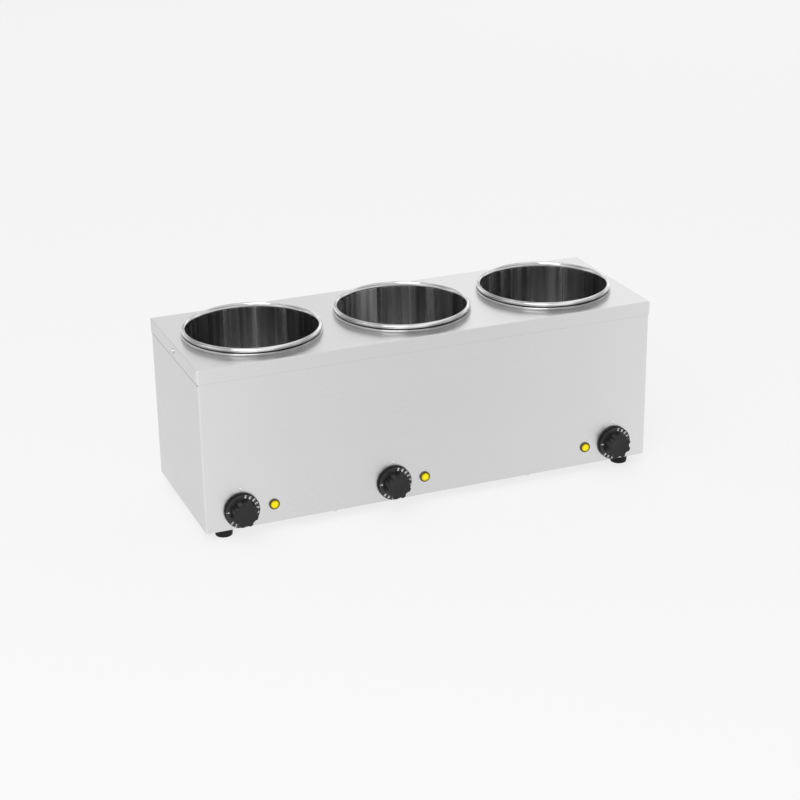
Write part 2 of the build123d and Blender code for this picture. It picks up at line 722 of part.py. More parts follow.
fasteners = {
    "cover_screws": (case_screw, [side_plane(side) for side in (-1, 1)]),
    "rear_screws": (case_screw, [rear_plane(x, z) for x in (-side_screw_x, side_screw_x)
                                 for z in rear_screw_heights]),
    "base_screws": (case_screw, [Plane(origin=(x, y, case_bottom), **below) for x, y in base_screw_places]),
    "thermostat_screws": (case_screw, thermostat_screw_places),
    "foot_screws": (foot_screw, [Plane(origin=(x, y, foot_recess_depth), **below) for x, y in foot_places]),
    "foot_nuts": (foot_nut, [Plane((x, y, body_bottom)) for x, y in foot_places]),
    "heater_nuts": (heater_nut, [Plane((x, case_y, clamp_bottom - heater_nut_height)) for x, _ in wells]),
    "lamp_nuts": (lamp_nut, lamp_nut_places),
}
for name, (shape, places) in fasteners.items():
    with BuildPart() as group:
        with Locations(*places):
            add(shape)
    save(group, name)

# Index pins: domed rivets above each dial
with BuildPart() as index_pins:
    for x, side in wells:
        with BuildSketch(front_plane(x + side * dial_offset, dial_height + index_rise)):
            Circle(index_radius)
        extrude(amount=index_height)
    fillet(index_pins.edges().group_by(Axis.Y)[0], index_height * 0.8)
    for x, side in wells:
        with BuildSketch(front_plane(x + side * dial_offset, dial_height + index_rise)):
            Circle(index_shank)
        extrude(amount=-2 * sheet)
save(index_pins, "index_pins")
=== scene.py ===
"""Looks of a countertop soup warmer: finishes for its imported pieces, and its round pieces in finer mesh.

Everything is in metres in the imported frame: X along the case, -Y towards the user, Z up from the counter.
"""

import json
import logging
import math
from dataclasses import dataclass, field, replace
from enum import Enum
from typing import Any, Sequence

import bmesh
import bpy
from mathutils import Matrix, Vector


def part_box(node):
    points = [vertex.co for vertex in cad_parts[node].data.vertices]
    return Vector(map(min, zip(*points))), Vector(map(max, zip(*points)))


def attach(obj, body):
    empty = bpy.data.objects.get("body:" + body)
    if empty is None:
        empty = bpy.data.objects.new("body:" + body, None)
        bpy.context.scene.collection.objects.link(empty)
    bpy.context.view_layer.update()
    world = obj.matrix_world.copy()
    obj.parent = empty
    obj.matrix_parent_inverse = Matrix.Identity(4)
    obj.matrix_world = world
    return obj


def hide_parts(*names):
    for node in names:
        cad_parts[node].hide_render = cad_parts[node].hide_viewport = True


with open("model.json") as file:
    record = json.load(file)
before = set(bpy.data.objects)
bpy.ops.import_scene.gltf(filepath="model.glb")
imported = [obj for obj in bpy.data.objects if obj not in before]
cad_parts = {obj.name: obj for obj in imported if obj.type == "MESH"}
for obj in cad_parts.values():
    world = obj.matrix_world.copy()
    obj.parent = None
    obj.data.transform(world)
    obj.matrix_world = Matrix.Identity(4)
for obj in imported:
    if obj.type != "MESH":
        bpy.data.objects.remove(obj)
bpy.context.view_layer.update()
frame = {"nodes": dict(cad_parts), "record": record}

LOG = logging.getLogger("soup_warmer")

Colour = tuple[float, float, float]
Point = tuple[float, float]
Span = tuple[float, float]
Place = tuple[float, float, float]
MILLIMETRE = 0.001
AXIS_GAP = 0.1 * MILLIMETRE  # keeps a distance from an axis above nothing, so that it can divide
MERGE_WITHIN = 0.01 * MILLIMETRE
SLIVER_WITHIN = 0.001 * MILLIMETRE
MIDDLE = 0.5  # the middle of a noise and of a blend
MIX_LOW, MIX_HIGH, MIX_RESULT = 6, 7, 2  # a Mix node's two colours in and its colour out
NUMBERS = (1, 2, 3)  # the wells, pots, dials and lamps, from the left


# Shader expressions

class Value:
    """A shader socket that adds Math nodes when it is used in an expression."""

    def __init__(self, tree: "Graph", socket: bpy.types.NodeSocket) -> None:
        """Wrap an output socket that carries a number, and its graph."""
        self.tree = tree
        self.socket = socket

    def maths(self, operation: str, *operands: Any) -> "Value":
        """Add one Math node.

        Args:
            operation: the Math node's operation.
            operands: its values or links, in order.

        Returns:
            The node's result.
        """
        sockets = dict(enumerate(operands))
        node = self.tree.node("ShaderNodeMath", {"operation": operation}, sockets)
        return Value(self.tree, node.outputs[0])

    def __add__(self, other: Any) -> "Value":
        """Return self + other."""
        return self.maths("ADD", self, other)

    def __radd__(self, other: Any) -> "Value":
        """Return other + self."""
        return self.maths("ADD", other, self)

    def __sub__(self, other: Any) -> "Value":
        """Return self - other."""
        return self.maths("SUBTRACT", self, other)

    def __rsub__(self, other: Any) -> "Value":
        """Return other - self."""
        return self.maths("SUBTRACT", other, self)

    def __mul__(self, other: Any) -> "Value":
        """Return self * other."""
        return self.maths("MULTIPLY", self, other)

    def __rmul__(self, other: Any) -> "Value":
        """Return other * self."""
        return self.maths("MULTIPLY", other, self)

    def __truediv__(self, other: Any) -> "Value":
        """Return self / other."""
        return self.maths("DIVIDE", self, other)

    def __pow__(self, other: Any) -> "Value":
        """Return self to the power other."""
        return self.maths("POWER", self, other)

    def __gt__(self, other: Any) -> "Value":
        """Return 1 where self is greater than other, otherwise 0."""
        return self.maths("GREATER_THAN", self, other)

    def __abs__(self) -> "Value":
        """Return the size of self without its sign."""
        return self.maths("ABSOLUTE", self)

    def rise(self, low: float, high: float) -> "Value":
        """Step smoothly from 0 to 1.

        Args:
            low: the value at and below which the step is 0.
            high: the value at and above which it is 1.

        Returns:
            The step.
        """
        settings = {"interpolation_type": "SMOOTHSTEP"}
        sockets = {"Value": self, "From Min": low, "From Max": high, "To Min": 0.0, "To Max": 1.0}
        node = self.tree.node("ShaderNodeMapRange", settings, sockets)
        return Value(self.tree, node.outputs[0])


class Graph:
    """A tree of shader nodes."""

    def __init__(self, graph: bpy.types.NodeTree) -> None:
        """Keep the node tree of a material or of the world."""
        self.graph = graph

    def node(self, kind: str, settings: dict[str, Any], sockets: dict[Any, Any]) -> bpy.types.Node:
        """Add one node.

        Args:
            kind: the node's type.
            settings: its properties, which are set first.
            sockets: values or links for its input sockets, by name or number.

        Returns:
            The new node.
        """
        node = self.graph.nodes.new(kind)
        for key, setting in settings.items():
            setattr(node, key, setting)
        for key, value in sockets.items():
            self.feed(node.inputs[key], value)
        return node

    def feed(self, socket: bpy.types.NodeSocket, value: Any) -> None:
        """Link a value to a socket, or set the socket's own constant.

        Args:
            socket: an input socket.
            value: a Value, an output socket, a number, a colour or a vector.
        """
        if isinstance(value, Value):
            self.graph.links.new(value.socket, socket)
        elif isinstance(value, bpy.types.NodeSocket):
            self.graph.links.new(value, socket)
        elif socket.type == "RGBA" and len(value) == 3:
            socket.default_value = (*value, 1.0)
        else:
            socket.default_value = value

    def place(self, centre: Sequence[float] = (0.0, 0.0, 0.0)) -> tuple[Value, Value, Value]:
        """Read the place in the frame.

        Args:
            centre: the point that it is counted from.

        Returns:
            Its X, Y and Z.
        """
        coordinates = self.node("ShaderNodeTexCoord", {}, {})
        shift = {"Vector": coordinates.outputs["Object"], "Location": tuple(-part for part in centre)}
        moved = self.node("ShaderNodeMapping", {"vector_type": "POINT"}, shift)
        split = self.node("ShaderNodeSeparateXYZ", {}, {0: moved.outputs[0]})
        return tuple(Value(self, socket) for socket in split.outputs)

    def vector(self, x: Any, y: Any, z: Any) -> bpy.types.NodeSocket:
        """Join three numbers into a vector."""
        return self.node("ShaderNodeCombineXYZ", {}, {0: x, 1: y, 2: z}).outputs[0]

    def noise(self, at: bpy.types.NodeSocket, scale: float = 1.0, detail: float = 2.0) -> Value:
        """Return noise about 0.5 at a vector."""
        node = self.node("ShaderNodeTexNoise", {}, {"Vector": at, "Scale": scale, "Detail": detail})
        return Value(self, node.outputs["Fac"])

    def blend(self, factor: Any, low: Any, high: Any) -> bpy.types.NodeSocket:
        """Mix two colours.

        Args:
            factor: 0 for the first colour, 1 for the second.
            low: the first colour.
            high: the second colour.

        Returns:
            The mixed colour's socket.
        """
        settings = {"data_type": "RGBA", "clamp_factor": True}
        node = self.node("ShaderNodeMix", settings, {"Factor": factor, MIX_LOW: low, MIX_HIGH: high})
        return node.outputs[MIX_RESULT]

    def bump(self, height: Any, strength: float, distance: float) -> bpy.types.NodeSocket:
        """Turn a height of 0 to 1, with its size in metres, into a normal that leans by a strength."""
        node = self.node("ShaderNodeBump", {}, {"Height": height, "Strength": strength, "Distance": distance})
        return node.outputs[0]


class FinishTree(Graph):
    """The node tree of one material, with a Principled shader at its end."""

    def __init__(self, name: str) -> None:
        """Make the material.

        Args:
            name: the material's name.
        """
        self.material = bpy.data.materials.new(name)
        self.material.use_nodes = True
        super().__init__(self.material.node_tree)
        self.graph.nodes.clear()
        self.shader = self.node("ShaderNodeBsdfPrincipled", {}, {})
        self.output = self.node("ShaderNodeOutputMaterial", {}, {"Surface": self.shader.outputs["BSDF"]})

    def tint(self, factor: Any, colour: Colour, dark: float, pale: float) -> bpy.types.NodeSocket:
        """Mix a darker and a paler form of one colour."""
        return self.blend(factor, scaled(colour, dark), scaled(colour, pale))

    def shade(self, **sockets: Any) -> bpy.types.Material:
        """Set sockets of the Principled shader.

        Args:
            sockets: their values or links, by name, with _ for a space.

        Returns:
            The material.
        """
        for key, value in sockets.items():
            self.feed(self.shader.inputs[key.replace("_", " ")], value)
        return self.material


# Finishes

def scaled(colour: Colour, by: float) -> Colour:
    """Return a colour made lighter or darker by a factor."""
    return tuple(channel * by for channel in colour)


def off_axis(first: Value, second: Value) -> Value:
    """Return how far a place is from an axis, by the two coordinates square to it."""
    return (first * first + second * second) ** 0.5


@dataclass(frozen=True)
class BrushedSheet:
    """Stainless sheet with a fine grain that runs level along every face, and a painted highlight along the
    front's bends.
    """

    name: str
    colour: Colour = (0.70, 0.70, 0.70)
    spread: float = 0.12
    roughness: float = 0.30
    uneven: float = 0.10
    grain_lines: float = 620.0
    grain_run: float = 2.5
    grain_tone: float = 0.16
    grain_lean: float = 0.05
    grain_depth: float = 0.06 * MILLIMETRE
    band_lines: float = 9.0
    band_run: float = 0.7
    band_tone: float = 0.10
    cloud_scale: float = 7.0
    cloud_tone: float = 0.06
    end_from: float = 0.3383
    # The next three set painted light and shade: lighter towards the ends of the upright faces, darker across
    # their middle and on the end faces.
    end_tone: float = 4.0
    end_fade: float = 0.55
    even_at: float = 0.2
    top_from: float = 0.2535
    # Painted highlight: a brighter strip on the bends at the front's upright corners.
    bend_from: Point = (0.3364, -0.1129)
    bend_shine: float = 1.13
    seam: float | None = None
    # The fields below paint a shadow line on the case just under the cover's edge, wider on the end faces.
    seam_width: float = 1.3 * MILLIMETRE
    seam_soft: float = 0.3
    seam_drop: float = 1.9 * MILLIMETRE
    seam_dark: float = 0.10
    seam_front: float = 0.22
    seam_end: float = 0.65

    def material(self) -> bpy.types.Material:
        """Build the finish: grain lines, faint rolling bands, handling marks, painted light and shade, a
        painted bend highlight and a painted shadow line under a seam.

        Returns:
            The material.
        """
        tree = FinishTree(self.name)
        x, y, z = tree.place()
        end = abs(x) > self.end_from
        along = x + (y - x) * end
        across = z + y * (1.0 - end)
        grain = tree.noise(tree.vector(along * self.grain_run, across * self.grain_lines, 0.0), detail=3.0)
        bands = tree.noise(tree.vector(along * self.band_run, across * self.band_lines, end), detail=1.0)
        clouds = tree.noise(tree.vector(x, y, z), self.cloud_scale, detail=3.0)
        # Painted light and shade: the upright faces are painted darker across the middle and lighter towards
        # their ends, and the end faces darker.
        painted_light_bow = (x * x - self.even_at ** 2) * (1.0 - (z > self.top_from)) * self.end_tone
        tone = (grain - MIDDLE) * self.grain_tone + (bands - MIDDLE) * self.band_tone
        tone = tone + (clouds - MIDDLE) * self.cloud_tone + painted_light_bow - end * self.end_fade + MIDDLE
        colour = tree.tint(tone, self.colour, 1.0 - self.spread, 1.0 + self.spread)
        # Painted highlight: the front's upright bends are painted brighter.
        past_x = (abs(x) - self.bend_from[0]).rise(0.0, MILLIMETRE)
        past_y = (self.bend_from[1] - y).rise(0.0, MILLIMETRE)
        colour = tree.blend(past_x * past_y, colour, scaled(self.colour, self.bend_shine))
        rough = self.roughness + (grain - MIDDLE) * self.uneven + (clouds - MIDDLE) * self.uneven
        # Painted shadow: a dark line just under the cover's edge, where its skirt shades the case.
        if self.seam is not None:
            dark_from = self.seam - self.seam_soft * self.seam_width
            painted_shadow_line = (z + end * self.seam_drop).rise(self.seam - self.seam_width, dark_from)
            shade = painted_shadow_line * (end * self.seam_end + self.seam_front)
            colour = tree.blend(shade, colour, scaled(self.colour, self.seam_dark))
        return tree.shade(Base_Color=colour, Metallic=1.0, Roughness=rough,
                          Normal=tree.bump(grain, self.grain_lean, self.grain_depth))


@dataclass(frozen=True)
class PolishedRing:
    """Bright polished steel of a round edge, with painted reflection bands that run round it and painted
    shade on its underside.
    """

    name: str
    centre: Point
    colour: Colour = (0.84, 0.84, 0.84)
    dark: float = 0.36
    roughness: float = 0.13
    shade: Span = (0.0, 0.1)
    shaded: float = 0.25
    line_scale: float = 2600.0
    line_lean: float = 0.05
    line_depth: float = 0.03 * MILLIMETRE
    line_uneven: float = 0.05
    band_scale: float = 330.0
    band_drift: float = 16.0
    band_edge: Span = (0.38, 0.58)
    band_share: float = 0.6
    slow_scale: float = 30.0
    slow_squash: float = 6.0
    slow_edge: Span = (0.35, 0.6)
    slow_uneven: float = 0.08

    def material(self) -> bpy.types.Material:
        """Build the finish: painted reflection bands along the edge that change slowly round it, and painted
        shade below, over fine polishing lines.

        Returns:
            The material.
        """
        tree = FinishTree(self.name)
        x, y, z = tree.place((*self.centre, 0.0))
        radius = off_axis(x, y) + AXIS_GAP
        lines = tree.noise(tree.vector(radius * self.line_scale, z * self.line_scale, 0.0))
        drifting = x * self.band_drift + radius * self.band_scale
        bands = tree.noise(tree.vector(drifting, y * self.band_drift, z * self.band_scale), detail=1.0)
        slow = tree.noise(tree.vector(x, y, z * self.slow_squash), self.slow_scale)
        # Painted reflections: soft darker bands along the edge and slow patches round it.
        tone = bands.rise(*self.band_edge) * self.band_share
        tone = tone + slow.rise(*self.slow_edge) * (1.0 - self.band_share)
        # Painted shade: darker towards the bottom, down to the shaded share at the low end of the span.
        tone = tone * (z.rise(*self.shade) * (1.0 - self.shaded) + self.shaded)
        rough = self.roughness + (slow - MIDDLE) * self.slow_uneven + (lines - MIDDLE) * self.line_uneven
        return tree.shade(Base_Color=tree.tint(tone, self.colour, self.dark, 1.0), Metallic=1.0,
                          Roughness=rough, Normal=tree.bump(lines, self.line_lean, self.line_depth))


@dataclass(frozen=True)
class SpunWall:
    """Satin steel of a drawn and spun wall, with fine level lines round it."""

    name: str
    centre: Point
    colour: Colour = (0.62, 0.62, 0.62)
    spread: float = 0.14
    roughness: float = 0.26
    line_scale: float = 900.0
    line_drift: float = 4.0
    line_share: float = 0.4
    line_lean: float = 0.06
    line_depth: float = 0.06 * MILLIMETRE
    line_uneven: float = 0.12
    slow_scale: float = 9.0
    slow_squash: float = 1.6
    slow_uneven: float = 0.10

    def material(self) -> bpy.types.Material:
        """Build the finish: fine lines round the wall, with slow changes of shade.

        Returns:
            The material.
        """
        tree = FinishTree(self.name)
        x, y, z = tree.place((*self.centre, 0.0))
        drift = (x + y) * self.line_drift
        around = off_axis(x, y) * self.line_scale
        lines = tree.noise(tree.vector(around, z * self.line_scale, drift), detail=3.0)
        slow = tree.noise(tree.vector(x, y, z * self.slow_squash), self.slow_scale, detail=3.0)
        tone = lines * self.line_share + slow * (1.0 - self.line_share)
        colour = tree.tint(tone, self.colour, 1.0 - self.spread, 1.0 + self.spread)
        rough = self.roughness + (lines - MIDDLE) * self.line_uneven + (slow - MIDDLE) * self.slow_uneven
        return tree.shade(Base_Color=colour, Metallic=1.0, Roughness=rough,
                          Normal=tree.bump(lines, self.line_lean, self.line_depth))


@dataclass(frozen=True)
class PotWall:
    """The pot's drawn wall: satin, with upright streaks of uneven width that are rougher and painted paler as
    reflections.
    """

    name: str
    centre: Point
    seed: float
    colour: Colour = (0.80, 0.80, 0.80)
    dark: float = 0.55
    pale: float = 1.2
    roughness: float = 0.17
    wide_scale: Span = (2.6, 1.5)
    wide_share: float = 0.6
    narrow_scale: Span = (15.0, 2.0)
    narrow_uneven: float = 0.10
    narrow_lean: float = 0.08
    narrow_depth: float = 0.08 * MILLIMETRE
    streak_edge: Span = (0.36, 0.68)
    streak_rough: float = 0.22
    streak_dull: float = 0.08
    end_calm: float = 0.85

    def material(self) -> bpy.types.Material:
        """Build the finish: wide and narrow upright streaks, painted paler as reflections and duller than the
        wall, with painted shade towards the ±X ends.

        Returns:
            The material.
        """
        tree = FinishTree(self.name)
        x, y, z = tree.place((*self.centre, 0.0))
        radius = off_axis(x, y) + AXIS_GAP
        around_x = x / radius
        around_y = y / radius
        across, down = self.wide_scale
        at = tree.vector(around_x * across + self.seed, around_y * across, z * down)
        wide = tree.noise(at)
        across, down = self.narrow_scale
        at = tree.vector(around_x * across, around_y * across + self.seed, z * down)
        narrow = tree.noise(at, detail=3.0)
        # Painted reflections: the streaks' paler colour; their roughness and lower metal share are the wall's
        # own.
        streak_and_painted_reflection = (wide * self.wide_share + narrow * (1.0 - self.wide_share)).rise(*self.streak_edge)
        # Painted shade: fewer streaks towards the ±X ends, so the wall is painted darker there.
        streak_and_painted_reflection = streak_and_painted_reflection * (1.0 - around_x * around_x * self.end_calm)
        rough = self.roughness + streak_and_painted_reflection * self.streak_rough + (narrow - MIDDLE) * self.narrow_uneven
        return tree.shade(Base_Color=tree.tint(streak_and_painted_reflection, self.colour, self.dark, self.pale),
                          Metallic=1.0 - streak_and_painted_reflection * self.streak_dull, Roughness=rough,
                          Normal=tree.bump(narrow, self.narrow_lean, self.narrow_depth))


@dataclass(frozen=True)
class PlainMetal:
    """Unpolished metal: castings, plated screws, copper and brass."""

    name: str
    colour: Colour
    roughness: float = 0.38
    grain: float = 900.0
    grain_lean: float = 0.10
    grain_depth: float = 0.08 * MILLIMETRE
    stain_size: float = 18.0
    stain_uneven: float = 0.16
    dark: float = 0.82
    pale: float = 1.14

    def material(self) -> bpy.types.Material:
        """Build the finish: a fine speckle with slow stains.

        Returns:
            The material.
        """
        tree = FinishTree(self.name)
        at = tree.vector(*tree.place())
        speckle = tree.noise(at, self.grain, detail=3.0)
        stain = tree.noise(at, self.grain / self.stain_size)
        colour = tree.tint(speckle * 0.5 + stain * 0.5, self.colour, self.dark, self.pale)
        rough = self.roughness + (stain - MIDDLE) * self.stain_uneven
        return tree.shade(Base_Color=colour, Metallic=1.0, Roughness=rough,
                          Normal=tree.bump(speckle, self.grain_lean, self.grain_depth))


@dataclass(frozen=True)
class Moulded:
    """Moulded plastic or rubber with a fine sparked texture."""

    name: str
    colour: Colour
    roughness: float = 0.45
    grain: float = 2600.0
    grain_lean: float = 0.18
    sheen: float = 0.5
    grain_depth: float = 0.10 * MILLIMETRE
    grain_share: float = 0.4
    slow_size: float = 45.0
    slow_uneven: float = 0.20
    dark: float = 0.78
    pale: float = 1.25

    def material(self) -> bpy.types.Material:
        """Build the finish: fine grain, with slow changes of shade and gloss.

        Returns:
            The material.
        """
        tree = FinishTree(self.name)
        at = tree.vector(*tree.place())
        fine = tree.noise(at, self.grain)
        slow = tree.noise(at, self.grain / self.slow_size, detail=3.0)
        tone = fine * self.grain_share + slow * (1.0 - self.grain_share)
        rough = self.roughness + (slow - MIDDLE) * self.slow_uneven
        return tree.shade(Base_Color=tree.tint(tone, self.colour, self.dark, self.pale), Roughness=rough,
                          Specular_IOR_Level=self.sheen,
                          Normal=tree.bump(fine, self.grain_lean, self.grain_depth))


@dataclass(frozen=True)
class LampLens:
    """Clear yellow lens, brighter in the middle, with small moulded facets behind its face."""

    name: str
    centre: Place
    reach: float
    edge: Colour = (0.46, 0.36, 0.0)
    middle: Colour = (1.0, 0.81, 0.0)
    core_from: float = 0.55
    core_share: float = 0.8
    glow: float = 0.26
    roughness: float = 0.12
    sheen: float = 0.25
    facets: float = 700.0
    facet_lean: float = 0.15
    facet_depth: float = 0.3 * MILLIMETRE

    def material(self) -> bpy.types.Material:
        """Build the finish: colour by distance from the lens's axis, with a faceted glow.

        Returns:
            The material.
        """
        tree = FinishTree(self.name)
        x, _, z = tree.place(self.centre)
        at = tree.vector(x, 0.0, z)
        cells = tree.node("ShaderNodeTexVoronoi", {}, {"Vector": at, "Scale": self.facets})
        facet = Value(tree, cells.outputs["Distance"])
        core = 1.0 - (off_axis(x, z) / self.reach).rise(self.core_from, 1.0)
        tone = core * self.core_share + (1.0 - facet) * (1.0 - self.core_share)
        colour = tree.blend(tone, self.edge, self.middle)
        return tree.shade(Base_Color=colour, Emission_Color=colour, Emission_Strength=self.glow,
                          Roughness=self.roughness, Specular_IOR_Level=self.sheen,
                          Normal=tree.bump(facet, self.facet_lean, self.facet_depth))


# Meshes

@dataclass
class Outline:
    """Half section of a turned piece, as (radius, height) points."""

    points: list[Point] = field(default_factory=list)

    def to(self, radius: float, height: float) -> "Outline":
        """Run straight to a point."""
        self.points.append((radius, height))
        return self

    def arc(self, centre: Point, radius: float, start: float, end: float, steps: int = 8,
            rise: float | None = None) -> "Outline":
        """Run along an arc of a circle or of an ellipse.

        Args:
            centre: the arc's centre.
            radius: its radius.
            start: the angle where it begins, in degrees, counted from the +radius direction.
            end: the angle where it ends.
            steps: how many straight runs it has.
            rise: an ellipse's half height, where it isn't the radius.

        Returns:
            This outline.
        """
        height = radius if rise is None else rise
        for step in range(steps + 1):
            angle = math.radians(start + (end - start) * step / steps)
            self.to(centre[0] + radius * math.cos(angle), centre[1] + height * math.sin(angle))
        return self


def upright(x: float, y: float) -> Matrix:
    """Return the place of a piece turned about an upright axis."""
    return Matrix.Translation((x, y, 0.0))


def facing_user(x: float, y: float, z: float) -> Matrix:
    """Return the place of a piece turned about an axis that points at the user from the front panel."""
    return Matrix.Translation((x, y, z)) @ Matrix.Rotation(math.radians(90.0), 4, "X")


def turned(outline: Outline, segments: int, closed: bool = False) -> bmesh.types.BMesh:
    """Spin an outline about Z.

    Args:
        outline: the half section.
        segments: how many steps the turn has.
        closed: whether the last point is joined to the first, for a ring.

    Returns:
        The new mesh, closed, with its faces outwards.
    """
    mesh = bmesh.new()
    verts = [mesh.verts.new((radius, 0.0, height)) for radius, height in outline.points]
    pairs = list(zip(verts, verts[1:]))
    if closed:
        pairs.append((verts[-1], verts[0]))
    edges = [mesh.edges.new(pair) for pair in pairs]
    bmesh.ops.spin(mesh, geom=verts + edges, cent=(0, 0, 0), axis=(0, 0, 1), angle=math.tau, steps=segments,
                   use_merge=True, use_duplicate=False)
    bmesh.ops.remove_doubles(mesh, verts=mesh.verts[:], dist=MERGE_WITHIN)
    bmesh.ops.dissolve_degenerate(mesh, edges=mesh.edges[:], dist=SLIVER_WITHIN)
    bmesh.ops.recalc_face_normals(mesh, faces=mesh.faces[:])
    mesh.normal_update()
    return mesh


@dataclass
class Workshop:
    """Makes finished objects of meshes, hangs them on their bodies and hides the nodes that they stand for.
    """

    count: int = 0

    def finish(self, mesh: bmesh.types.BMesh, name: str, body: str, slot: str,
               materials: Sequence[bpy.types.Material], place: Matrix | None = None,
               replaces: Sequence[str] = (), crease: float = 35.0) -> None:
        """Turn a mesh into a piece of the object.

        Args:
            mesh: the mesh, freed here.
            name: the piece's name.
            body: the body that it rides on.
            slot: the record's material slot; not used.
            materials: its finishes, by material index.
            place: where the mesh goes.
            replaces: the nodes that it stands for.
            crease: edges sharper than this angle, in degrees, stay crisp.
        """
        if place is not None:
            bmesh.ops.transform(mesh, matrix=place, verts=mesh.verts[:])
        data = bpy.data.meshes.new(name)
        mesh.to_mesh(data)
        mesh.free()
        for material in materials:
            data.materials.append(material)
        data.shade_smooth()
        data.set_sharp_from_angle(angle=math.radians(crease))
        piece = bpy.data.objects.new(name, data)
        bpy.context.scene.collection.objects.link(piece)
        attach(piece, body)
        if replaces:
            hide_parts(*replaces)
        self.count += 1
        LOG.info("%s: %d faces on %s", name, len(data.polygons), body)


SHOP = Workshop()


# Sub-assemblies

@dataclass
class SheetCase:
    """The bent case, its cover, rear panel and base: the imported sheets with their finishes."""

    grained: tuple[str, ...] = ("top_cover", "rear_panel")

    def dress(self) -> None:
        """Give each sheet its grain and its painted light, with a painted shadow line on the case just under
        the cover's edge.
        """
        grain = BrushedSheet("sheet_grain_and_painted_light").material()
        for node in self.grained:
            wear(node, grain)
        cover_low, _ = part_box("top_cover")
        wear("case_wrap", BrushedSheet("case_grain_and_painted_light", seam=cover_low.z).material())
        mill = PlainMetal("mill_sheet", (0.60, 0.60, 0.605), roughness=0.36, grain=300.0, grain_lean=0.04)
        wear("base_plate", mill.material())


def wear(node: str, material: bpy.types.Material) -> None:
    """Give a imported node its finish.

    Args:
        node: the node's name.
        material: the finish.
    """
    data = frame["nodes"][node].data
    data.materials.clear()
    data.materials.append(material)


class PotZone(Enum):
    """The pot's zones, by the index of their finish."""

    RIM = 0
    INSIDE_WALL = 1
    SPUN = 2


